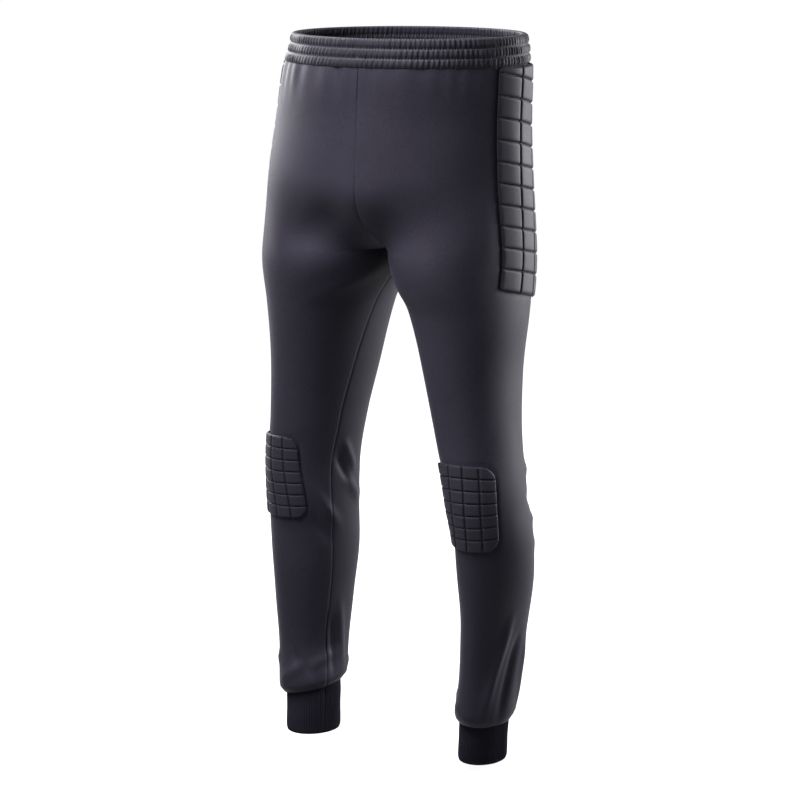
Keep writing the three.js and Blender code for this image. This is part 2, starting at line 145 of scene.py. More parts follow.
@dataclass(frozen=True)
class BodyForm:
    """The outside of the cloth as a surface over (u, z) for each side.

    u runs from the front seam (0) round the side of the body (0.5) to the back seam (1); below
    the crotch both ends are the inseam.
    """

    crotch: float = -270.0
    fork: float = -180.0
    hip_blend: tuple[float, float] = (-330.0, -170.0)
    half_gap: float = 0.15
    rise: tuple = ((-270, -10), (-200, -4), (0, 0))
    left_drop: float = 8.0
    back_rise: float = 6.0
    drop_levels: tuple[float, float] = (-680.0, -880.0)
    trunk_rows: tuple = (
        (-400, 178, 104, -12, 3),
        (-300, 190, 131, -25, 9),
        (-200, 187, 137, -24, 11),
        (-100, 177.5, 127, -15, 6),
        (-40, 173, 121, -6, 1),
        (0, 165, 115, 0, 0),
        (20, 162, 113, 0, 0),
    )
    leg_rows: tuple = (
        (-960, 32, 38.5),
        (-900, 33, 41),
        (-888, 37, 49),
        (-840, 36, 51),
        (-770, 40, 56),
        (-690, 45.5, 63),
        (-590, 47, 65),
        (-510, 51, 70),
        (-430, 60, 81),
        (-350, 75, 98),
    )
    right_line: tuple = (
        (-960, -142, -24, -27),
        (-895, -142, -22, -27),
        (-830, -150, -8, -27),
        (-710, -147, -6, -27),
        (-590, -147, -10, -27),
        (-510, -140, -6, -24),
        (-430, -131, 0, -18),
        (-350, -124, 4, -8),
    )
    left_line: tuple = (
        (-960, 110, 16, -8),
        (-895, 119, 6, -8),
        (-830, 129, 3, -8),
        (-710, 147, -16, -8),
        (-650, 151, -28, -8),
        (-590, 144, -34, -8),
        (-510, 126, -25, -7),
        (-430, 109, -12, -4),
        (-350, 96, -1, -2),
    )
    snug_right: float = 1.03
    snug_left: float = 0.965

    def trunk(self, z: Array) -> tuple[Array, Array, Array, Array]:
        """Half width, half depth, centre x and centre y of the trunk at z."""
        rows = np.array(self.trunk_rows, float)
        a, b, x, y = (curve(rows, c, z) for c in (1, 2, 3, 4))
        return a, b, x, y

    def seam(self, z: Array) -> Array:
        """x of the rise seam at z."""
        return curve(np.array(self.rise, float), 1, z)

    def drop(self, side: Side) -> float:
        """How much lower than nominal a leg's hem hangs."""
        return self.left_drop if side is Side.LEFT else 0.0

    def level(self, side: Side, z: Array) -> Array:
        """Nominal level of a height."""
        z = np.asarray(z, float)
        return z + self.drop(side) * smooth(*self.drop_levels, z)

    def lift(self, around: Array, z: Array) -> Array:
        """How much the waist rises towards the back, by angle from the front and level."""
        return self.back_rise * (0.5 - 0.5 * np.cos(around)) * smooth(-170.0, -20.0, z)

    def leg_top(self, side: Side, z: Array) -> tuple[Array, Array, Array, Array]:
        """Half width, half depth, centre x and centre y of one side of the trunk at z."""
        a, b, x, y = self.trunk(z)
        inner, outer = self.seam(z), x + side.value * a
        return np.abs(outer - inner) / 2, b * 0.92, (outer + inner) / 2, y

    def leg(self, side: Side, z: Array) -> tuple[Array, Array, Array, Array, Array]:
        """Half width, half depth, centre x, centre y and turn (radians) of one leg at z."""
        z = np.asarray(z, float)
        a, b, x, y = self.leg_top(side, np.maximum(z, self.crotch))
        levels = (self.crotch, self.crotch + 60)
        tops = [(c, *(float(v) for v in self.leg_top(side, np.array(c)))) for c in levels]
        snug = self.snug_left if side is Side.LEFT else self.snug_right
        size = [(r, p * snug, q * snug) for r, p, q in self.leg_rows]
        size = np.array(size + [(c, p, q) for c, p, q, _, _ in tops])
        line = self.left_line if side is Side.LEFT else self.right_line
        line = np.array(list(line) + [(c, p, q, 0.0) for c, _, _, p, q in tops], float)
        over = z >= self.crotch
        return (
            np.where(over, a, curve(size, 1, z)),
            np.where(over, b, curve(size, 2, z)),
            np.where(over, x, curve(line, 1, z)),
            np.where(over, y, curve(line, 2, z)),
            np.radians(np.where(over, 0.0, curve(line, 3, z))),
        )

    def point(self, side: Side, u: Array, z: Array) -> Array:
        """Points of the cloth's outside.

        Args:
            side: Which half of the garment.
            u: Place round it, 0 to 1.
            z: Level.

        Returns:
            Array of points, last axis x, y, z.
        """
        u, height = np.broadcast_arrays(np.asarray(u, float), np.asarray(z, float))
        z = self.level(side, height)
        s = side.value
        a, b, x, y = self.trunk(z)
        la, lb, lx, ly, turn = self.leg(side, z)
        across, ahead = -la * np.cos(2 * pi * u) * s, lb * np.sin(2 * pi * u)
        leg_x = lx + across * np.cos(turn) + ahead * np.sin(turn)
        leg_y = ly + across * np.sin(turn) - ahead * np.cos(turn)
        seam = s * np.arcsin((self.seam(z) - x) / a)
        around = seam + (pi - 2 * seam) * u
        trunk_x = x + s * a * np.sin(around)
        trunk_y = y - b * np.cos(around)
        drop = np.clip((self.fork - z) / (self.fork - self.crotch), 0, 1)
        near = np.exp(-((np.minimum(u, 1 - u) / 0.1) ** 2))
        low, high = self.hip_blend
        w = (1 - np.sqrt(1 - drop**2)) * near + (1 - smooth(low, high, z)) * (1 - near)
        return np.stack(
            [
                (1 - w) * trunk_x + w * leg_x + s * self.half_gap,
                (1 - w) * trunk_y + w * leg_y,
                height + self.lift(around, z),
            ],
            -1,
        )

    def outward(self, side: Side, u: Array, z: Array) -> Array:
        """Unit directions out of the cloth."""
        u, z = np.broadcast_arrays(np.asarray(u, float), np.asarray(z, float))
        step = 0.004
        du = self.point(side, np.minimum(u + step, 1), z) - self.point(
            side, np.maximum(u - step, 0), z
        )
        dz = self.point(side, u, z + 1.5) - self.point(side, u, z - 1.5)
        n = np.cross(du, dz) * side.value
        return n / np.maximum(np.linalg.norm(n, axis=-1, keepdims=True), 1e-9)

    def raised(self, side: Side, u: Array, z: Array, height: Array) -> Array:
        """Points at a height over the cloth."""
        return self.point(side, u, z) + self.outward(side, u, z) * height[..., None]

    def speed(self, side: Side, u: Array, z: Array) -> Array:
        """Millimetres of cloth for one unit of u."""
        step = 0.01
        d = self.point(side, u + step, z) - self.point(side, u - step, z)
        return np.linalg.norm(d, axis=-1) / (2 * step)


FORM = BodyForm()


# ---- mesh helpers ----
def new_object(name: str, points: Array, faces: Sequence[Sequence[int]]) -> bpy.types.Object:
    """Makes a smooth-shaded mesh object whose place is in its mesh.

    Args:
        name: Object name.
        points: Points in millimetres.
        faces: Vertex numbers of each face.

    Returns:
        The linked object.
    """
    mesh = bpy.data.meshes.new(name)
    mesh.from_pydata((np.asarray(points, float).reshape(-1, 3) * MM).tolist(), [], faces)
    mesh.validate()
    mesh.polygons.foreach_set("use_smooth", [True] * len(mesh.polygons))
    obj = bpy.data.objects.new(name, mesh)
    bpy.context.scene.collection.objects.link(obj)
    log.info("%s: %d faces", name, len(mesh.polygons))
    return obj


def grid_faces(rows: int, cols: int, wrap: bool = False, flip: bool = False) -> list:
    """Quads of a grid of rows by columns, closed across the columns where wrap is set."""
    faces = []
    last = cols if wrap else cols - 1
    for j in range(rows - 1):
        for i in range(last):
            k = (i + 1) % cols
            quad = (j * cols + i, j * cols + k, (j + 1) * cols + k, (j + 1) * cols + i)
            faces.append(quad[::-1] if flip else quad)
    return faces


def set_uv(obj: bpy.types.Object, across: Array, along: Array) -> None:
    """Stores metres of cloth across and along it as the piece's UV map."""
    mesh = obj.data
    layer = mesh.uv_layers.new(name="Cloth")
    loops = np.empty(len(mesh.loops), int)
    mesh.loops.foreach_get("vertex_index", loops)
    flat = np.stack([np.ravel(across), np.ravel(along)], -1) * MM
    layer.data.foreach_set("uv", flat[loops].astype(np.float32).ravel())


def set_value(obj: bpy.types.Object, name: str, values: Array) -> None:
    """Stores one number for each point."""
    attribute = obj.data.attributes.new(name, "FLOAT", "POINT")
    attribute.data.foreach_set("value", np.ravel(values).astype(np.float32))


@contextmanager
def editing(obj: bpy.types.Object) -> Iterator[bmesh.types.BMesh]:
    """Opens a piece's mesh for editing and writes it back."""
    bm = bmesh.new()
    bm.from_mesh(obj.data)
    yield bm
    bm.to_mesh(obj.data)
    bm.free()


def recalculate(obj: bpy.types.Object) -> None:
    """Turns every face of a closed mesh outwards."""
    with editing(obj) as bm:
        bmesh.ops.recalc_face_normals(bm, faces=bm.faces)


def thicken(obj: bpy.types.Object, thickness: float) -> None:
    """Gives a sheet its thickness, inwards from the modelled face, with crisp edges."""
    with editing(obj) as bm:
        for edge in bm.edges:
            edge.smooth = not edge.is_boundary
    mod = obj.modifiers.new("Cloth thickness", "SOLIDIFY")
    mod.thickness = thickness * MM
    mod.offset = -1.0
    mod.use_even_offset = False


def ring_mesh(name: str, loops: Array) -> bpy.types.Object:
    """Closed ring whose section is a closed chain of loops.

    Args:
        name: Object name.
        loops: Points, [section, round, xyz].

    Returns:
        The linked object.
    """
    rows, cols = loops.shape[:2]
    faces = grid_faces(rows, cols, wrap=True)
    base = (rows - 1) * cols
    faces += [(base + i, base + (i + 1) % cols, (i + 1) % cols, i) for i in range(cols)]
    obj = new_object(name, loops, faces)
    recalculate(obj)
    return obj


# ---- shader wrapper ----
Term = Union["Sock", float, tuple]


class Shader:
    """One node material, built by expressions."""

    def __init__(self, name: str) -> None:
        """Makes an empty material.

        Args:
            name: Material name.
        """
        self.material = bpy.data.materials.new(name)
        self.material.use_nodes = True
        self.tree = self.material.node_tree
        self.tree.nodes.clear()
        self.surface = self.node("ShaderNodeBsdfPrincipled")
        self.output = self.node("ShaderNodeOutputMaterial")
        self.tree.links.new(self.surface.outputs["BSDF"], self.output.inputs["Surface"])

    def node(
        self, kind: str, settings: Optional[dict] = None, inputs: Optional[dict] = None
    ) -> bpy.types.Node:
        """Adds a node.

        Args:
            kind: Node type.
            settings: Node properties.
            inputs: Values or sockets for its inputs.

        Returns:
            The node.
        """
        made = self.tree.nodes.new(kind)
        for key, value in (settings or {}).items():
            setattr(made, key, value)
        for key, value in (inputs or {}).items():
            self.feed(made.inputs[key], value)
        return made

    def feed(self, target: bpy.types.NodeSocket, value: Term) -> None:
        """Puts a value on an input, or links a socket to it."""
        if isinstance(value, Sock):
            self.tree.links.new(value.socket, target)
        else:
            target.default_value = value

    def sock(self, node: bpy.types.Node, output: Union[int, str] = 0) -> "Sock":
        """Wraps an output of a node."""
        return Sock(self, node.outputs[output])

    def coordinates(self, name: str = "Object") -> "Sock":
        """Texture coordinates of the piece itself."""
        return self.sock(self.node("ShaderNodeTexCoord"), name)

    def attribute(self, name: str) -> "Sock":
        """A number stored on the piece's points."""
        return self.sock(self.node("ShaderNodeAttribute", {"attribute_name": name}), "Fac")

    def noise(self, at: "Sock", scale: float, detail: float = 2.0) -> "Sock":
        """Noise from 0 to 1."""
        made = self.node(
            "ShaderNodeTexNoise", inputs={"Vector": at, "Scale": scale, "Detail": detail}
        )
        return self.sock(made, "Fac")

    def colour_mix(self, factor: Term, a: Term, b: Term) -> "Sock":
        """Mixes two colours."""
        made = self.node("ShaderNodeMix", {"data_type": "RGBA"})
        self.feed(made.inputs[0], factor)
        self.feed(made.inputs[6], a)
        self.feed(made.inputs[7], b)
        return Sock(self, made.outputs[2])

    def bump(self, height: "Sock", distance: float, strength: float = 1.0) -> None:
        """Feeds a height to the surface's normal."""
        made = self.node(
            "ShaderNodeBump", inputs={"Height": height, "Distance": distance, "Strength": strength}
        )
        self.tree.links.new(made.outputs["Normal"], self.surface.inputs["Normal"])


class Sock:
    """A socket that takes part in arithmetic."""

    def __init__(self, shader: Shader, socket: bpy.types.NodeSocket) -> None:
        """Wraps a socket.

        Args:
            shader: The material it belongs to.
            socket: The node output.
        """
        self.shader = shader
        self.socket = socket

    def math(self, operation: str, *others: Term) -> "Sock":
        """Applies a math node to this socket and others."""
        made = self.shader.node("ShaderNodeMath", {"operation": operation})
        for target, value in zip(made.inputs, (self, *others)):
            self.shader.feed(target, value)
        return self.shader.sock(made)

    def __add__(self, other: Term) -> "Sock":
        return self.math("ADD", other)

    def __sub__(self, other: Term) -> "Sock":
        return self.math("SUBTRACT", other)

    def __rsub__(self, other: Term) -> "Sock":
        made = self.shader.node("ShaderNodeMath", {"operation": "SUBTRACT"})
        self.shader.feed(made.inputs[0], other)
        self.shader.feed(made.inputs[1], self)
        return self.shader.sock(made)

    def __mul__(self, other: Term) -> "Sock":
        return self.math("MULTIPLY", other)

    __radd__ = __add__
    __rmul__ = __mul__

    def sine(self) -> "Sock":
        """Sine of the value."""
        return self.math("SINE")

    def clamp(self, low: float, high: float) -> "Sock":
        """Spreads low..high over 0..1 and clamps."""
        made = self.shader.node("ShaderNodeMapRange", {"clamp": True})
        for key, value in (("Value", self), ("From Min", low), ("From Max", high)):
            self.shader.feed(made.inputs[key], value)
        return self.shader.sock(made)

    def parts(self) -> tuple["Sock", "Sock", "Sock"]:
        """The three numbers of a vector."""
        made = self.shader.node("ShaderNodeSeparateXYZ", inputs={"Vector": self})
        return tuple(Sock(self.shader, o) for o in made.outputs)


class Structure(Enum):
    """How a cloth is made."""

    KNIT = "knit"
    RIB = "rib"
    MESH = "mesh"
    FOAM = "foam"


@dataclass(frozen=True)
class Finish:
    """Look of one material."""

    name: str
    slot: str
    colour: tuple[float, float, float]
    second: tuple[float, float, float]
    structure: Structure
    roughness: float = 0.6
    sheen: float = 0.3
    sheen_roughness: float = 0.4
    specular: float = 0.35
    relief: float = 0.12
    stitched: bool = False
    # How strongly grooves beside stitched lines are darkened: painted shade in the grooves.
    creased: float = 0.0

    def material(self) -> bpy.types.Material:
        """Builds the material.

        Returns:
            A node material that reads the piece's own coordinates.
        """
        shader = Shader(self.name)
        surface = shader.surface
        place = shader.coordinates("Object")
        cloth = shader.coordinates("UV")
        x, y, _ = cloth.parts()
        patch = shader.noise(place, 9.0, 3.0)
        grain = shader.noise(place, 620.0, 2.0)
        tone = (patch * 0.4 + grain * 0.6).clamp(0.36, 0.64)
        colour = shader.colour_mix(tone, (*self.colour, 1), (*self.second, 1))
        if self.structure is Structure.KNIT:
            wales = (x * (2 * pi / 0.0011)).sine()
            courses = (y * (2 * pi / 0.0009)).sine()
            height = (wales * courses) * 0.4 + grain * 0.6
        elif self.structure is Structure.RIB:
            height = (x * (2 * pi / 0.0024)).sine() * 0.8 + grain * 0.5
        elif self.structure is Structure.MESH:
            wales = (x * (2 * pi / 0.0022)).sine()
            height = wales * (y * (2 * pi / 0.0022)).sine() + grain * 0.3
        else:
            cells = shader.node(
                "ShaderNodeTexVoronoi", inputs={"Vector": place, "Scale": 700.0}
            )
            height = shader.sock(cells, "Distance")
        if self.stitched:
            away = shader.attribute("stitch")
            run = shader.attribute("run")
            dash = (run * (2 * pi / 0.0036)).sine().clamp(-0.35, 0.1)
            thread = (1 - away.clamp(0.0002, 0.0006)) * dash
            # Painted shade: colour beside the stitched grooves is mixed towards near-black.
            crease = (1 - away.clamp(0.0004, 0.0016)) * self.creased
            colour = shader.colour_mix(crease, colour, (0.0015, 0.0014, 0.0018, 1))
            colour = shader.colour_mix(thread * 0.35, colour, (0.05, 0.047, 0.056, 1))
            height = height + thread * 1.5
        shader.feed(surface.inputs["Base Color"], colour)
        rough = patch.clamp(0.2, 0.8) * 0.1 + (self.roughness - 0.05)
        shader.feed(surface.inputs["Roughness"], rough)
        fixed = {
            "Sheen Weight": self.sheen, "Sheen Roughness": self.sheen_roughness,
            "Sheen Tint": (0.80, 0.76, 1.0, 1), "Specular Tint": (0.84, 0.80, 1.0, 1),
            "Specular IOR Level": self.specular,
        }
        for key, value in fixed.items():
            surface.inputs[key].default_value = value
        shader.bump(height, self.relief * MM, 0.6)
        return shader.material


KNIT = Finish(
    "Charcoal knit", "knit", (0.0076, 0.0069, 0.0107), (0.0128, 0.0117, 0.0176), Structure.KNIT,
    roughness=0.6, sheen=0.03, sheen_roughness=0.3, specular=0.08, stitched=True,
)
# Pad cover: its quilting grooves get painted shade.
PAD_KNIT = Finish(
    "Moulded pad knit", "pad_knit", (0.0082, 0.0073, 0.0108), (0.0110, 0.0098, 0.0142),
    Structure.KNIT, roughness=0.6, sheen=0.015, specular=0.10, stitched=True, creased=0.9,
)
# Waistband: its channel stitching lines get painted shade.
BAND_KNIT = Finish(
    "Gathered band knit", "band_rib", (0.0072, 0.0064, 0.0096), (0.0100, 0.0089, 0.0130),
    Structure.KNIT, roughness=0.6, sheen=0.015, specular=0.10, stitched=True, creased=0.75,
)
CUFF_RIB = Finish(
    "Matt cuff rib", "cuff_rib", (0.0070, 0.0067, 0.0104), (0.0096, 0.0092, 0.0142),
    Structure.RIB, roughness=0.85, sheen=0.015, specular=0.05, relief=0.12,
)
LINING = Finish(
    "Mesh lining", "lining", (0.020, 0.020, 0.022), (0.028, 0.028, 0.030),
    Structure.MESH, roughness=0.85, sheen=0.1, specular=0.2, relief=0.25,
)
FOAM = Finish(
    "Closed-cell foam", "foam", (0.22, 0.22, 0.22), (0.28, 0.28, 0.28),
    Structure.FOAM, roughness=0.9, sheen=0.0, specular=0.2,
)
ELASTIC = Finish(
    "Woven elastic", "elastic", (0.55, 0.54, 0.52), (0.62, 0.61, 0.59),
    Structure.RIB, roughness=0.8, sheen=0.1, relief=0.3,
)

_made: dict[str, bpy.types.Material] = {}


def dress(obj: bpy.types.Object, finish: Finish) -> bpy.types.Object:
    """Puts a finish on a piece."""
    if finish.name not in _made:
        _made[finish.name] = finish.material()
    obj.data.materials.append(_made[finish.name])
    return obj


# ---- folds in the cloth ----
@dataclass(frozen=True)
class Fold:
    """A soft ridge (height > 0) or hollow along a line on one side's cloth.

    start and end are (u, z); width is the ridge's half width in millimetres.
    """

    side: Side
    start: tuple[float, float]
    end: tuple[float, float]
    height: float
    width: float
    bow: float = 0.0

    def relief(self, side: Side, u: Array, z: Array, round_mm: Array) -> Array:
        """Height of the fold over a grid.

        Args:
            side: The side that the grid is on.
            u: Grid of u.
            z: Grid of z.
            round_mm: Millimetres of cloth for one unit of u at each point.

        Returns:
            Height in millimetres.
        """
        if side is not self.side:
            return np.zeros_like(z)
        du = (u - self.start[0] + 0.5) % 1.0 - 0.5
        run_u = (self.end[0] - self.start[0] + 0.5) % 1.0 - 0.5
        px, pz = du * round_mm, z - self.start[1]
        ex, ez = run_u * round_mm, self.end[1] - self.start[1]
        length2 = np.maximum(ex**2 + ez**2, 1.0)
        t = (px * ex + pz * ez) / length2
        away = (px * ez - pz * ex) / np.sqrt(length2) - self.bow * (1 - (2 * t - 1) ** 2)
        taper = smooth(-0.08, 0.3, t) * (1 - smooth(0.6, 1.08, t))
        return self.height * taper * np.exp(-((away / self.width) ** 2))


FOLDS: tuple[Fold, ...] = (
    # beside and behind the straight knee
    Fold(Side.RIGHT, (0.10, -590), (-0.04, -668), 3.4, 7.5),
    Fold(Side.RIGHT, (0.12, -612), (0.0, -690), -2.6, 8.0),
    Fold(Side.RIGHT, (0.97, -540), (0.88, -592), 3.6, 5.5),
    Fold(Side.RIGHT, (0.99, -556), (0.91, -612), -3.6, 5.0),
    Fold(Side.RIGHT, (0.95, -590), (0.84, -640), 3.0, 7.0),
    Fold(Side.RIGHT, (0.60, -560), (0.80, -600), 3.2, 9.0),
    Fold(Side.RIGHT, (0.62, -610), (0.82, -632), 2.8, 8.0),
    # behind the relaxed knee
    Fold(Side.LEFT, (0.60, -548), (0.88, -580), 4.2, 9.0),
    Fold(Side.LEFT, (0.58, -588), (0.90, -604), -3.6, 7.0),
    Fold(Side.LEFT, (0.60, -618), (0.88, -622), 4.0, 8.0),
    Fold(Side.LEFT, (0.62, -656), (0.86, -640), 3.2, 9.0),
    Fold(Side.LEFT, (0.92, -560), (0.99, -600), 2.6, 8.0),
    # long hanging folds on the outer shin
    Fold(Side.LEFT, (0.47, -740), (0.36, -897), 4.6, 7.0, 3.0),
    Fold(Side.LEFT, (0.52, -770), (0.44, -899), -4.6, 7.5),
    Fold(Side.LEFT, (0.60, -780), (0.62, -897), 3.4, 9.0),
    Fold(Side.RIGHT, (0.95, -770), (0.90, -890), 3.0, 7.0),
    Fold(Side.RIGHT, (0.99, -790), (0.96, -890), -2.8, 5.0),
    # cloth resting over the cuffs
    Fold(Side.LEFT, (0.12, -876), (0.34, -884), 1.8, 6.0),
    Fold(Side.LEFT, (0.75, -862), (0.98, -878), 3.0, 7.0),
    Fold(Side.LEFT, (0.02, -850), (0.14, -866), 1.8, 6.0),
    Fold(Side.RIGHT, (0.10, -858), (0.28, -884), 3.0, 6.5),
    Fold(Side.RIGHT, (0.16, -840), (0.06, -880), -2.6, 6.0),
    Fold(Side.RIGHT, (-0.06, -846), (0.10, -866), 2.6, 6.0),
    Fold(Side.RIGHT, (0.60, -862), (0.85, -876), 3.0, 7.0),
    Fold(Side.RIGHT, (0.26, -850), (0.42, -868), 2.0, 6.0),
    # hollow of the groin and pull lines from the crotch over the thighs
    Fold(Side.RIGHT, (0.03, -212), (0.26, -268), -7.0, 24.0),
    Fold(Side.LEFT, (0.03, -222), (0.20, -262), -3.5, 18.0),
    Fold(Side.LEFT, (0.02, -285), (0.22, -340), 1.8, 12.0),
    Fold(Side.RIGHT, (0.02, -290), (0.20, -345), 2.0, 12.0),
    Fold(Side.LEFT, (0.98, -290), (0.80, -350), 3.2, 11.0),
    Fold(Side.RIGHT, (0.98, -290), (0.80, -350), 3.2, 11.0),
    Fold(Side.LEFT, (0.93, -262), (0.72, -300), 3.2, 10.0),
    Fold(Side.RIGHT, (0.93, -262), (0.72, -300), 3.2, 10.0),
)


@dataclass(frozen=True)
class PadLayout:
    """Where a quilted pad sits and how its blocks are laid out."""

    name: str
    columns: int
    rows: int
    column: float
    row: float
    top: float
    tilt: float
    corner: float
    proud: float
    groove: float
    centre: tuple
    straight_top: Optional[float] = None

    @property
    def half(self) -> float:
        """Half of the pad's width."""
        return self.columns * self.column / 2

    @property
    def row_count(self) -> int:
        """Rows of blocks, the cut-off one included."""
        return self.rows + (1 if self.straight_top is not None else 0)

    def level(self, j: Array, across: Array) -> Array:
        """Level of row line j; j may lie between two lines.

        Args:
            j: Row line number, 0 at the upper edge.
            across: Millimetres from the pad's middle, positive to the rear.

        Returns:
            The level z.
        """
        j = np.asarray(j, float)
        foot = self.top - self.tilt * (across + self.half)
        if self.straight_top is None:
            return foot - j * self.row
        below = foot - (j - 1) * self.row
        return np.where(j < 1, self.straight_top * (1 - j) + foot * j, below)

    def drawn_in(self, depth: Array) -> Array:
        """How far a rounded corner draws the side edge in, at a depth from the end edge."""
        d = np.clip(self.corner - np.maximum(depth, 0), 0, None)
        return self.corner - np.sqrt(np.maximum(self.corner**2 - d**2, 0))

    def middle(self, z: Array) -> Array:
        """u of the pad's middle line."""
        return curve(np.array(self.centre, float), 1, z)

    def place(self, side: Side, across: Array, z: Array) -> Array:
        """u of a point on the pad."""
        middle = self.middle(z)
        return middle + across / FORM.speed(side, middle, z)

    def across(self, side: Side, u: Array, z: Array) -> Array:
        """Millimetres of a cloth point from the pad's middle line."""
        middle = self.middle(z)
        return (u - middle) * FORM.speed(side, middle, z)

    def swing(self, side: Side, across: Array, z: Array) -> Array:
        """How much a row rises beside the pad's middle, because rows lie square to the leg."""
        if self.straight_top is not None:
            return np.zeros(np.broadcast(across, z).shape)
        lean = (FORM.leg(side, z + 8.0)[3] - FORM.leg(side, z - 8.0)[3]) / 16.0
        behind = FORM.point(side, self.place(side, across, z), z)[..., 1]
        return -lean * (behind - FORM.point(side, np.full_like(behind, 0.25), z)[..., 1])

    def edge_distance(self, side: Side, u: Array, z: Array) -> Array:
        """Millimetres from the pad's outline, negative inside it."""
        a = self.across(side, u, z)
        z = z - self.swing(side, np.clip(a, -self.half, self.half), z)
        top = self.level(0, a)
        foot = self.level(self.row_count, a)
        if self.straight_top is not None:
            top = top + 60.0
        x = np.abs(a) - (self.half - self.corner)
        y = np.abs(z - (top + foot) / 2) - ((top - foot) / 2 - self.corner)
        outside = np.sqrt(np.maximum(x, 0) ** 2 + np.maximum(y, 0) ** 2)
        return outside + np.minimum(np.maximum(x, y), 0) - self.corner


HIP_PAD = PadLayout(
    "hip_pad", 3, 10, 38.0, 27.5, -36.4, 0.2, 5.0, 6.4, 1.5,
    ((-330, 0.522), (-180, 0.535), (-30, 0.546)), straight_top=-31.1,
)
KNEE_PAD = PadLayout(
    "knee_pad", 5, 7, 18.5, 16.2, -533.0, 0.0, 16.0, 4.4, 1.3,
    ((-650, 0.235), (-530, 0.275)),
)
PADS = (HIP_PAD, KNEE_PAD)


# ---- joint zones between bodies ----
@dataclass(frozen=True)
class Bends:
    """Zones between one body and the next; the pieces are not bent in them, and split is where
    upper and lower panels meet.
    """

    hip_start: tuple[float, float, float] = (-10.0, 10.0, -270.0)
    hip_length: float = 200.0
    knee_top: float = -510.0
    knee_foot: float = -670.0
    split: float = -490.0

    def hip(self, obj: bpy.types.Object, side: Side) -> None:
        """Bakes a piece's transform into its mesh; it is not bent at the hip."""
        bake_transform(obj)

    def knee(self, obj: bpy.types.Object, side: Side) -> None:
        """Bakes a piece's transform into its mesh; it is not bent at the knee."""
        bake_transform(obj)


BENDS = Bends()


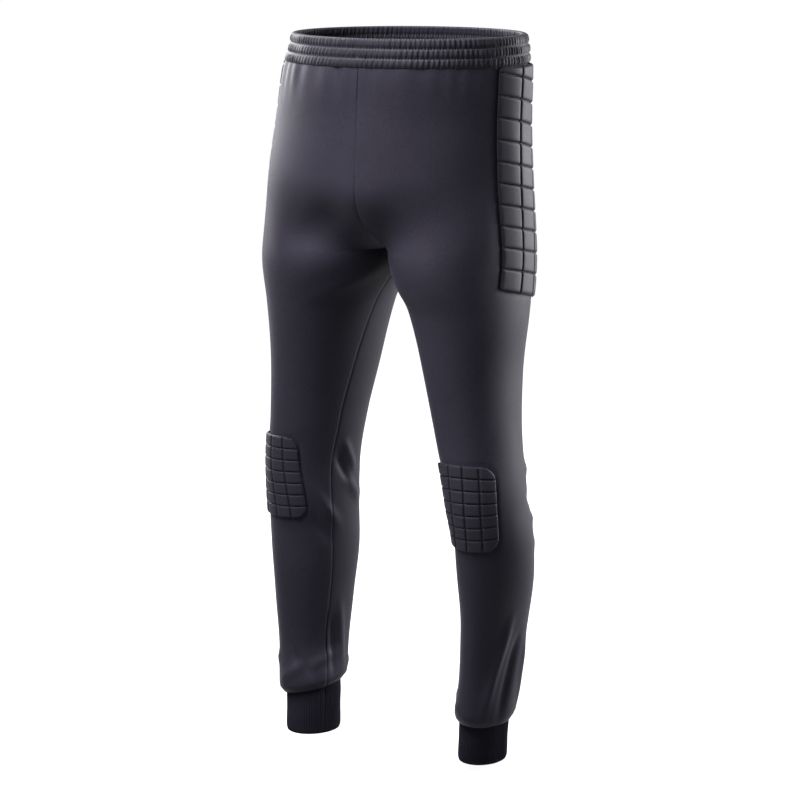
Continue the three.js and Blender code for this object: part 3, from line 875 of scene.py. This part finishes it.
# ---- panels ----
@dataclass
class Panels:
    """The knitted front and back panels of one side."""

    side: Side
    thickness: float = 0.9
    top: float = -30.0
    foot: float = -897.5
    seam_depth: float = 0.8
    side_seam_depth: float = 0.0
    seam_width: float = 1.4
    round_steps: int = 76
    row_step: float = 5.0
    gather_height: float = 4.2
    hem_slant: float = 8.0

    def relief(self, u: Array, z: Array) -> Array:
        """Height of the cloth over its smooth form.

        Args:
            u: Grid of u.
            z: Grid of levels.

        Returns:
            Millimetres outwards.
        """
        s = self.side
        round_mm = FORM.speed(s, np.clip(u, 0.02, 0.98), z)
        out = sum(fold.relief(s, u, FORM.level(s, z), round_mm) for fold in FOLDS)
        # soft gathers that fade out below the waistband
        fade = 1 - smooth(0.0, 75.0, self.top - z)
        arc = u * 510 * s.value
        wave = np.sin(arc / 4.6 + 1.3 * np.sin(arc / 21.0)) + 0.6 * np.sin(arc / 9.1 + 2.0)
        drift = np.sin(arc / 60.0 + 0.5) * 0.3 + 0.7
        if s is Side.LEFT:
            drift = drift * (0.25 + 0.75 * smooth(0.45, 0.7, u))
        out = out + self.gather_height * fade**2.2 * wave * 0.45 * drift
        # broad unevenness of the hanging cloth
        flat = np.stack([u.ravel() * 5, z.ravel() / 95, np.full(u.size, s.value * 3.3)], -1)
        soft = np.array([noise.noise(p) for p in flat]).reshape(u.shape)
        calm = smooth(0.0, 40.0, self.top - z)
        out = out + soft * (1.3 + 1.0 * smooth(-480, -640, z)) * calm
        for pad in PADS:
            away = pad.edge_distance(s, u, z)
            keep = smooth(0.0, 22.0, away)
            out = out * keep - 1.5 * np.exp(-((away / 2.2) ** 2))
        return out

    def seam_dip(self, u: Array, z: Array, face: Face) -> Array:
        """Rolled edge of a panel beside its two long seams."""
        round_mm = FORM.speed(self.side, np.clip(u, 0.02, 0.98), z)
        low, high = face.value
        middle, side = (low, high) if face is Face.FRONT else (high, low)
        depths = (self.seam_depth, middle), (self.side_seam_depth, side)
        return -sum(
            depth * np.exp(-((np.abs(u - at) * round_mm / self.seam_width) ** 2))
            for depth, at in depths
        )

    def rows(self, low: float, high: float) -> Array:
        """Levels of the grid, closer together at the crotch."""
        levels = np.arange(high, low - 0.01, -self.row_step)
        turn = FORM.crotch
        extra = turn + np.array([18, 12, 8, 5.5, 3.5, 2, 1, 0.4, 0, -1.2, -3.5])
        levels = levels[(np.abs(levels - turn - 6) > 12)]
        ends = [low, low + 0.5, high - 0.5]
        levels = np.concatenate([levels, extra[(extra < high) & (extra > low)], ends])
        return np.unique(levels)[::-1]

    def slant(self, u: Array, z: Array) -> Array:
        """How far the cloth near the hem rests lower at the outer front and higher behind."""
        foot = self.foot - FORM.drop(self.side)
        share = 1 - smooth(foot, foot + 60.0, z)
        amount = self.hem_slant * (0.35 if self.side is Side.LEFT else 1.0)
        return amount * np.cos(2 * pi * (u - 0.38)) * share

    def piece(self, face: Face, low: float, high: float, label: str) -> bpy.types.Object:
        """Makes one stretch of one panel.

        Args:
            face: Front or back.
            low: Lowest level.
            high: Highest level.
            label: Last part of the object's name.

        Returns:
            The panel as a sheet of cloth.
        """
        levels = self.rows(low, high)
        first, last = face.value
        t = np.linspace(0, 1, self.round_steps + 1)
        ease = 0.5 - 0.5 * np.cos(pi * t)
        u = first + (0.7 * t + 0.3 * ease) * (last - first)
        ug, zg = np.meshgrid(u, levels)
        height = self.relief(ug, zg) + self.seam_dip(ug, zg, face)
        points = FORM.raised(self.side, ug, zg, height)
        points[..., 2] -= self.slant(ug, zg)
        away = np.minimum.reduce([p.edge_distance(self.side, ug, zg) for p in PADS])
        flip = self.side is Side.LEFT
        faces = grid_faces(len(levels), len(u), flip=flip)
        keep = away.ravel() > -4.0
        faces = [f for f in faces if any(keep[v] for v in f)]
        obj = new_object(f"{face.word}_panel_{self.side.word}_{label}", points, faces)
        middle_row = np.diff(points[len(levels) // 2], axis=0)
        run = np.concatenate([[0], np.cumsum(np.linalg.norm(middle_row, axis=1))])
        set_uv(obj, np.broadcast_to(run, ug.shape), zg)
        round_mm = FORM.speed(self.side, np.clip(ug, 0.02, 0.98), zg)
        seam = np.abs(ug - (first if face is Face.FRONT else last)) * round_mm
        set_value(obj, "stitch", np.minimum(np.abs(seam - 3.2), np.abs(away - 3.0)) * MM)
        set_value(obj, "run", zg * MM)
        self.drop_loose(obj)
        return obj

    @staticmethod
    def drop_loose(obj: bpy.types.Object) -> None:
        """Removes points that no face uses."""
        with editing(obj) as bm:
            loose = [v for v in bm.verts if not v.link_faces]
            bmesh.ops.delete(bm, geom=loose, context="VERTS")

    def build(self) -> None:
        """Makes the four sheets of this side, hides their frame parts and bakes their transforms.
        """
        word = self.side.word
        foot = self.foot - FORM.drop(self.side)
        for face in Face:
            upper = self.piece(face, BENDS.split, self.top, "upper")
            lower = self.piece(face, foot, BENDS.split, "lower")
            for obj, length, width in ((upper, 0.46, 0.30), (lower, 0.41, 0.20)):
                dress(obj, KNIT)
                thicken(obj, self.thickness)
                area = self.area(obj)
            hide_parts(f"{face.word}_seat_panel_{word}", f"{face.word}_thigh_panel_{word}")
            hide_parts(f"{face.word}_shin_panel_{word}")
            BENDS.hip(upper, self.side)
            BENDS.knee(lower, self.side)

    @staticmethod
    def area(obj: bpy.types.Object) -> float:
        """Area of the sheet in square metres."""
        return float(sum(p.area for p in obj.data.polygons))


# ---- quilted pads ----
@dataclass
class QuiltedPad:
    """One pad: a quilted cover blown up over its blocks, foam under it and a backing."""

    side: Side
    layout: PadLayout
    bend: Callable[[bpy.types.Object, Side], None]
    stops: tuple[float, ...] = (0.0, 0.9, 2.2, 4.2, 7.5)
    middle_steps: tuple[int, int] = (5, 3)
    cover: float = 0.8
    border: float = 0.9
    under: float = 1.3
    edge_share: float = 0.6
    block_round: float = 3.2
    pressure: float = 4.0
    cap: float = 1.0
    frames: int = 16

    def lines(self, count: int, size: float, middle: int) -> Array:
        """Grid lines in units of blocks, close together beside every groove.

        Args:
            count: Blocks in the row or column.
            size: Length of a block in millimetres.
            middle: Steps over the flat middle of a block.

        Returns:
            Rising line positions from 0 to count.
        """
        near = np.array([s for s in self.stops if s < size * 0.4]) / size
        flat = np.linspace(near[-1], 1 - near[-1], middle + 1)[1:-1]
        block = np.concatenate([near, flat, 1 - near[::-1]])[:-1]
        return np.concatenate([block + k for k in range(count)] + [[float(count)]])

    def grid(self, inset: float, across: Array, down: Array) -> dict:
        """Grid over the pad's outline.

        Args:
            inset: Millimetres in from the outline.
            across: Grid lines across, in blocks.
            down: Grid lines downwards, in blocks.

        Returns:
            Arrays: across, z, u and the distances to the nearest groove and to the outline.
        """
        pad = self.layout
        ig, jg = np.meshgrid(across, down)
        a = ig * pad.column - pad.half
        total = pad.level(0, 0) - pad.level(pad.row_count, 0)
        z = pad.level(jg, a)
        depth = np.minimum(pad.level(0, a) - z, z - pad.level(pad.row_count, a))
        limit = pad.half - inset - pad.drawn_in(depth)
        edge = pad.half - pad.column
        outer = np.abs(a) > edge
        squeezed = edge + (np.abs(a) - edge) * (limit - edge) / (pad.half - edge)
        a = np.where(outer, np.sign(a) * squeezed, a)
        pull = 1 - 2 * inset / total
        centre = (pad.level(0, a) + pad.level(pad.row_count, a)) / 2
        z = (z - centre) * pull + centre
        z = z + pad.swing(self.side, a, z)
        cell_w = np.where(outer, (limit - edge), pad.column)
        fi, fj = ig % 1.0, jg % 1.0
        du = np.minimum(fi, 1 - fi) * cell_w
        row_h = np.where(jg < 1, pad.level(0, a) - pad.level(1, a), pad.row)
        dv = np.minimum(fj, 1 - fj) * row_h
        rim = (ig == 0) | (ig == pad.columns) | (jg == 0) | (jg == pad.row_count)
        return {"a": a, "z": z, "u": pad.place(self.side, a, z), "du": du, "dv": dv, "rim": rim,
                "ig": ig, "jg": jg}

    def even(self, across: int, down: int) -> tuple[Array, Array]:
        """Evenly spaced grid lines, so many steps for each block."""
        columns, rows = self.layout.columns, self.layout.row_count
        return np.linspace(0, columns, columns * across + 1), np.linspace(0, rows, rows * down + 1)

    @staticmethod
    def block(distance: Array, radius: float) -> Array:
        """Rounded rise from a groove to a block's top."""
        t = np.clip(distance / radius, 0, 1)
        return np.sqrt(np.maximum(1 - (1 - t) ** 2, 0))

    def heights(self, g: dict, low: float, high: float, radius: float) -> Array:
        """Height of a quilted face: grooves at low, block tops at high."""
        rise = self.block(g["du"], radius) * self.block(g["dv"], radius)
        out = low + (high - low) * rise
        wander = 1 + 0.05 * np.sin(g["ig"] * 2.1 + 1.0) * np.cos(g["jg"] * 1.3 + self.side.value)
        side = self.layout.half - np.abs(g["a"])
        inwards = smooth(0.0, self.layout.column * 0.8, side)
        taper = self.edge_share + (1 - self.edge_share) * inwards
        return out * np.where(g["rim"], 1.0, wander * taper)

    def surface(self, g: dict, height: Array) -> Array:
        """Points over the cloth at the grid's places."""
        return FORM.raised(self.side, g["u"], g["z"], height)

    @staticmethod
    def places(mesh: bpy.types.Mesh) -> Array:
        """The mesh's points, one row each."""
        flat = np.empty(len(mesh.vertices) * 3)
        mesh.vertices.foreach_get("co", flat)
        return flat.reshape(-1, 3)

    def blow_up(self, obj: bpy.types.Object, pinned: Array) -> None:
        """Runs cloth under pressure with the sewn lines held, and keeps a capped result."""
        before = self.places(obj.data)
        held = obj.vertex_groups.new(name="sewn")
        held.add([int(v) for v in np.flatnonzero(pinned.ravel())], 1.0, "REPLACE")
        mod = obj.modifiers.new("Puff", "CLOTH")
        cloth = {
            "vertex_group_mass": "sewn", "mass": 0.15, "quality": 6, "tension_stiffness": 12,
            "compression_stiffness": 12, "bending_stiffness": 0.4, "use_pressure": True,
            "uniform_pressure_force": self.pressure,
        }
        for key, value in cloth.items():
            setattr(mod.settings, key, value)
        mod.settings.effector_weights.gravity = 0.0
        mod.collision_settings.use_collision = False
        mod.point_cache.frame_start = 1
        mod.point_cache.frame_end = self.frames
        scene = bpy.context.scene
        for frame in range(1, self.frames + 1):
            scene.frame_set(frame)
        depsgraph = bpy.context.evaluated_depsgraph_get()
        move = self.places(obj.evaluated_get(depsgraph).data) - before
        size = np.linalg.norm(move, axis=1, keepdims=True)
        move *= np.minimum(1.0, self.cap * MM / np.maximum(size, 1e-9))
        obj.modifiers.remove(mod)
        obj.vertex_groups.clear()
        scene.frame_set(1)
        obj.data.vertices.foreach_set("co", (before + move).ravel())
        obj.data.update()
        log.info("%s: puffed by %.2f mm at most", obj.name, float(size.max()) / MM)

    def make_cover(self) -> bpy.types.Object:
        """Quilted cover, grooves sewn down."""
        pad = self.layout
        g = self.grid(
            0.0,
            self.lines(pad.columns, pad.column, self.middle_steps[0]),
            self.lines(pad.row_count, pad.row, self.middle_steps[1]),
        )
        height = self.heights(g, pad.groove, pad.proud - self.cap * 0.6, self.block_round)
        height = np.where(g["rim"], self.border, height)
        points = self.surface(g, height)
        rows, cols = height.shape
        obj = new_object(
            f"{pad.name}_cover_{self.side.word}", points,
            grid_faces(rows, cols, flip=self.side is Side.LEFT),
        )
        set_uv(obj, g["a"], g["z"])
        seam = np.minimum(g["du"], g["dv"])
        pinned = (seam < 0.01) | g["rim"]
        self.blow_up(obj, pinned)
        set_value(obj, "stitch", seam * MM)
        set_value(obj, "run", np.where(g["du"] < g["dv"], g["z"], g["a"]) * MM)
        sub = obj.modifiers.new("Rounder", "SUBSURF")
        sub.levels = sub.render_levels = 1
        thicken(obj, self.cover)
        dress(obj, PAD_KNIT)
        return obj

    def make_foam(self) -> bpy.types.Object:
        """Foam blocks joined by a thin web."""
        pad = self.layout
        g = self.grid(2.0, *self.even(6, 5))
        top = self.heights(g, 0.3, pad.proud - 3.4, self.block_round)
        top = np.where(g["rim"], 0.2, top)
        return self.layered(g, top, np.full_like(top, 0.0), "foam", FOAM)

    def make_backing(self) -> bpy.types.Object:
        """Flat lining behind the foam."""
        g = self.grid(0.0, *self.even(4, 2))
        flat = np.full_like(g["z"], -self.under)
        return self.layered(g, flat, flat - 0.9, "backing", LINING)

    def layered(
        self, g: dict, top: Array, foot: Array, part: str, finish: Finish
    ) -> bpy.types.Object:
        """Closed slab between two heights over a grid."""
        rows, cols = top.shape
        both = np.concatenate([self.surface(g, level).reshape(-1, 3) for level in (top, foot)])
        n = rows * cols
        faces = grid_faces(rows, cols)
        faces += [tuple(v + n for v in f[::-1]) for f in grid_faces(rows, cols)]
        rim = [j * cols for j in range(rows)], [j * cols + cols - 1 for j in range(rows)]
        faces += [(a, b, b + n, a + n) for a, b in zip(rim[0], rim[0][1:])]
        faces += [(b, a, a + n, b + n) for a, b in zip(rim[1], rim[1][1:])]
        ends = list(range(cols)), list(range((rows - 1) * cols, rows * cols))
        faces += [(b, a, a + n, b + n) for a, b in zip(ends[0], ends[0][1:])]
        faces += [(a, b, b + n, a + n) for a, b in zip(ends[1], ends[1][1:])]
        obj = new_object(f"{self.layout.name}_{part}_{self.side.word}", both, faces)
        recalculate(obj)
        set_uv(obj, np.tile(g["a"].ravel(), 2), np.tile(g["z"].ravel(), 2))
        return dress(obj, finish)

    def build(self) -> None:
        """Makes the pad's three layers, hides their frame parts and bakes their transforms."""
        name, word = self.layout.name, self.side.word
        cover, foam, backing = self.make_cover(), self.make_foam(), self.make_backing()
        for obj, part in ((cover, "cover"), (foam, "foam"), (backing, "backing")):
            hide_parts(f"{name}_{part}_{word}")
            self.bend(obj, self.side)


# ---- waistband and cuffs ----
@dataclass
class Waistband:
    """Folded casing gathered in three stitched channels, with elastic in it."""

    rim: float = 7.0
    channels: int = 3
    channel: float = 12.3
    bulge: float = 2.3
    wall: float = 1.2
    elastic: float = 2.4
    gap: float = 0.3
    round_steps: int = 900
    gather: float = 0.75
    radius: float = 142.0

    @property
    def foot(self) -> float:
        """Lower edge."""
        return self.rim - self.channels * self.channel

    def loop(self, offset: Array, z: Array, q: Array) -> Array:
        """Points round the waist, moved out by an offset."""
        a, b, x, y = FORM.trunk(z)
        return np.stack(
            [x + (a + offset) * np.sin(q), y - (b + offset) * np.cos(q), z + FORM.lift(q, z)], -1
        )

    @staticmethod
    def swell(t: float) -> float:
        """How far a channel swells between its two stitched lines."""
        return max(1 - (2 * t - 1) ** 2, 0) ** 0.55

    def gathers(self, q: Array, row: int) -> Array:
        """Irregular fine folds along one channel."""
        arc = q * self.radius
        wander = 0.9 * np.sin(arc / 17 + row) + 0.5 * np.sin(arc / 41 + 2 * row)
        main = np.sin(arc / 0.98 + 1.6 * wander + row * 2.3)
        slow = 0.5 * np.sin(arc / 2.3 + 2.1 * wander + row)
        return (main + slow) * (0.75 + 0.25 * np.sin(arc / 11 + row * 1.7))

    def build(self) -> None:
        """Makes the casing, its stitches and the elastic."""
        q = np.linspace(0, 2 * pi, self.round_steps, endpoint=False)
        profile: list[tuple[float, float, int, float]] = []
        for k in range(self.channels):
            for t in np.linspace(0, 1, 9)[:-1]:
                z = self.foot + (k + t) * self.channel
                swell = self.swell(t)
                profile.append((self.bulge * swell - 0.25 * (t == 0), z, k, swell))
        inner = -(2 * self.wall + self.elastic + 2 * self.gap)
        lip = [(0.2, self.rim - 0.5, 2, 0.4), (-0.9, self.rim, 2, 0.3),
               (inner + 0.9, self.rim, 2, 0.3)]
        inside = []
        for k in reversed(range(self.channels)):
            for t in np.linspace(1, 0, 7)[:-1]:
                z = self.foot + (k + t) * self.channel
                swell = self.swell(t)
                inside.append((inner - 0.9 * swell, min(z, self.rim - 0.6), k, swell * 0.8))
        back = [(inner, self.foot, 0, 0.0), (inner + self.wall, self.foot, 0, 0.0),
                (inner + self.wall, self.rim - self.wall - 0.4, 0, 0.0),
                (-self.wall, self.rim - self.wall - 0.4, 0, 0.0), (-self.wall, self.foot, 0, 0.0)]
        loops, along, arcs = [], [], []
        for n, (offset, z, k, amount) in enumerate(profile + lip + inside + back):
            sign = -1 if n >= len(profile) + 2 else 1
            wobble = self.gathers(q, k) * self.gather * amount * sign
            loops.append(self.loop(offset + wobble, np.full_like(q, z), q))
            along.append(np.full_like(q, z))
            arcs.append(q * self.radius)
        casing = ring_mesh("waistband_casing_cloth", np.array(loops))
        set_uv(casing, np.array(arcs), np.array(along))
        past = [(z - self.foot) % self.channel for _, z, _, _ in profile + lip + inside + back]
        away = np.array([np.full_like(q, min(p, self.channel - p)) for p in past])
        # Distance to the channel stitching, shrunk so the painted groove shade reaches farther from
        # it.
        set_value(casing, "stitch", away * 0.2 * MM)
        set_value(casing, "run", np.array(arcs) * MM)
        dress(casing, BAND_KNIT)
        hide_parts("waistband_casing")
        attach(casing, "hips")

        near, far = -self.wall - self.gap, -self.wall - self.gap - self.elastic
        low, high = self.foot + 1.5, self.rim - self.wall - 1.0
        q = np.linspace(0, 2 * pi, 240, endpoint=False)
        section = [(near, low), (near, high), (far, high), (far, low)]
        loops = np.array([self.loop(np.full_like(q, o), np.full_like(q, z), q) for o, z in section])
        elastic = ring_mesh("waist_elastic_band", loops)
        set_uv(elastic, np.tile(q * self.radius, 4), np.repeat([z for _, z in section], len(q)))
        dress(elastic, ELASTIC)
        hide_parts("waist_elastic")
        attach(elastic, "hips")


@dataclass
class Cuff:
    """Ribbed cuff folded double at the hem."""

    side: Side
    top: float = -886.0
    hem: float = -960.0
    half_width: float = 32.5
    half_depth: float = 38.5
    left_narrowing: float = 2.0
    wall: float = 1.5
    ribs: int = 96
    rib_height: float = 0.35
    seam_depth: float = 0.9
    seam_width: float = 0.03

    def loop(self, inset: Array, z: Array, q: Array) -> Array:
        """Points round the ankle, moved in by an inset."""
        _, _, x, y, turn = FORM.leg(self.side, FORM.level(self.side, z))
        inset = inset + (self.left_narrowing if self.side is Side.LEFT else 0.0)
        c, d = (self.half_width - inset) * np.cos(q), (self.half_depth - inset) * np.sin(q)
        return np.stack(
            [
                x + c * np.cos(turn) + d * np.sin(turn),
                y + c * np.sin(turn) - d * np.cos(turn),
                z,
            ],
            -1,
        )

    def build(self) -> None:
        """Makes the cuff and ties it to the shin."""
        q = np.linspace(0, 2 * pi, self.ribs * 6, endpoint=False)
        drop = FORM.drop(self.side)
        top, hem = self.top - drop, self.hem - drop
        height = top - hem
        rows: list[tuple[float, float, float]] = []
        for t in np.linspace(0, 1, 22):
            belly = 0.9 * sin(pi * t) - 0.9 * (1 - smooth(0.1, 0.3, np.array(t)))
            ease = 1.3 * float(smooth(0.93, 1.0, np.array(t)))
            rows.append((-belly * 0.6 + ease * 0.5, top - t * height, 1.0 - 0.6 * (t > 0.97)))
        inner = 2 * self.wall + 1
        rows += [(1.6, hem - 0.35, 0.2), (inner - 0.8, hem - 0.2, 0.2)]
        rows += [(inner, hem + 1 + t * (height - 1), 0.6) for t in np.linspace(0, 1, 10)]
        rows += [(inner - self.wall, top, 0.0), (inner - self.wall, hem + 2, 0.0),
                 (self.wall, hem + 2, 0.0), (self.wall, top, 0.0)]
        seam_turn = q if self.side is Side.RIGHT else q - pi
        seam = self.seam_depth * np.exp(-((np.sin(seam_turn / 2) * 2 / self.seam_width) ** 2))
        rib = np.sin(q * self.ribs)
        rib = np.sign(rib) * np.abs(rib) ** 0.6
        loops, along = [], []
        for inset, z, amount in rows:
            crease = (0.35 * np.sin(q * 2 + z / 9) + seam) * amount
            level = np.full_like(q, max(z, hem))
            loops.append(self.loop(inset - rib * self.rib_height * amount + crease, level, q))
            along.append(level)
        obj = ring_mesh(f"ankle_cuff_rib_{self.side.word}", np.array(loops))
        set_uv(obj, np.tile(q * 36, len(rows)), np.array(along))
        dress(obj, CUFF_RIB)
        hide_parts(f"ankle_cuff_{self.side.word}")
        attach(obj, f"shin_{self.side.word}")


# ---- camera, light, floor ----
@dataclass
class Studio:
    """Camera at the side of the front, soft light and a pale plain floor."""

    azimuth: float = 32.0
    distance: float = 3.0
    height: float = 0.15
    aim: float = -0.48
    lens: float = 102.6
    shift_px: tuple[float, float] = (8.0, 1.0)
    floor: float = -0.978
    picture_px: int = 800
    world_strength: float = 0.28
    floor_glow: float = 0.95

    def camera(self) -> None:
        """Places the camera."""
        data = bpy.data.cameras.new("Camera")
        data.lens = self.lens
        data.sensor_width = 36.0
        data.clip_end = 50.0
        data.shift_x = -self.shift_px[0] / self.picture_px
        data.shift_y = self.shift_px[1] / self.picture_px
        camera = bpy.data.objects.new("Camera", data)
        bpy.context.scene.collection.objects.link(camera)
        a = radians(self.azimuth)
        place = Vector((self.distance * sin(a), -self.distance * cos(a), self.height))
        camera.location = place
        view = Vector((0, 0, self.aim)) - place
        camera.rotation_euler = view.to_track_quat("-Z", "Y").to_euler()
        bpy.context.scene.camera = camera

    def area(self, name: str, azimuth: float, elevation: float, size: float, power: float,
             aim: float, distance: float = 2.2) -> None:
        """Adds a square soft light that faces the garment."""
        data = bpy.data.lights.new(name, "AREA")
        data.shape = "SQUARE"
        data.size = size
        data.energy = power
        light = bpy.data.objects.new(name, data)
        bpy.context.scene.collection.objects.link(light)
        a, e = radians(azimuth), radians(elevation)
        target = Vector((0, 0, aim))
        light.location = target + distance * Vector((sin(a) * cos(e), -cos(a) * cos(e), sin(e)))
        light.rotation_euler = (target - light.location).to_track_quat("-Z", "Y").to_euler()
        light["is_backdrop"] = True

    def build(self) -> None:
        """Sets the whole stage."""
        self.camera()
        scene = bpy.context.scene
        scene.view_settings.view_transform = "Standard"
        world = bpy.data.worlds.new("Studio")
        world.use_nodes = True
        sky = world.node_tree.nodes["Background"].inputs
        sky["Color"].default_value = (1, 1, 1, 1)
        sky["Strength"].default_value = self.world_strength
        scene.world = world
        self.area("Key left", -22, 46, 1.0, 170, aim=0.06, distance=1.5)
        self.area("Rim left", -106, 18, 1.1, 130, aim=-0.12)
        self.area("Side right", 146, 10, 1.1, 150, aim=-0.35)
        size = 40.0
        corners = [(-size, -size), (size, -size), (size, size), (-size, size)]
        floor = new_object(
            "Floor", np.array([(x, y, self.floor) for x, y in corners]) / MM, [(0, 1, 2, 3)]
        )
        material = bpy.data.materials.new("Pale floor")
        material.use_nodes = True
        surface = material.node_tree.nodes["Principled BSDF"]
        surface.inputs["Base Color"].default_value = (0.12, 0.12, 0.12, 1)
        surface.inputs["Roughness"].default_value = 0.9
        surface.inputs["Emission Color"].default_value = (1, 1, 1, 1)
        surface.inputs["Emission Strength"].default_value = self.floor_glow
        floor.data.materials.append(material)
        floor.visible_diffuse = False
        floor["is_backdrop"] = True


def size_lines() -> dict:
    """The drawn object's bounds as plain numbers."""
    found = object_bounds()
    return {str(k): [float(x) for x in v] if hasattr(v, "__len__") else v
            for k, v in (found.items() if isinstance(found, dict) else enumerate(found))}


def main() -> None:
    """Builds every sub-assembly in order."""
    logging.basicConfig(level=logging.INFO, format="%(name)s: %(message)s")
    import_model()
    before = size_lines()
    Waistband().build()
    for side in Side:
        Panels(side).build()
        QuiltedPad(side, HIP_PAD, BENDS.hip).build()
        QuiltedPad(side, KNEE_PAD, BENDS.knee, stops=(0.0, 0.7, 1.6, 3.0, 5.0),
                    middle_steps=(3, 2), cap=0.7, block_round=2.4, edge_share=0.8).build()
        Cuff(side).build()
    Studio().build()
    after = size_lines()
    log.info("frame %s, drawn %s", before, after)


if __name__ == "__main__":
    main()
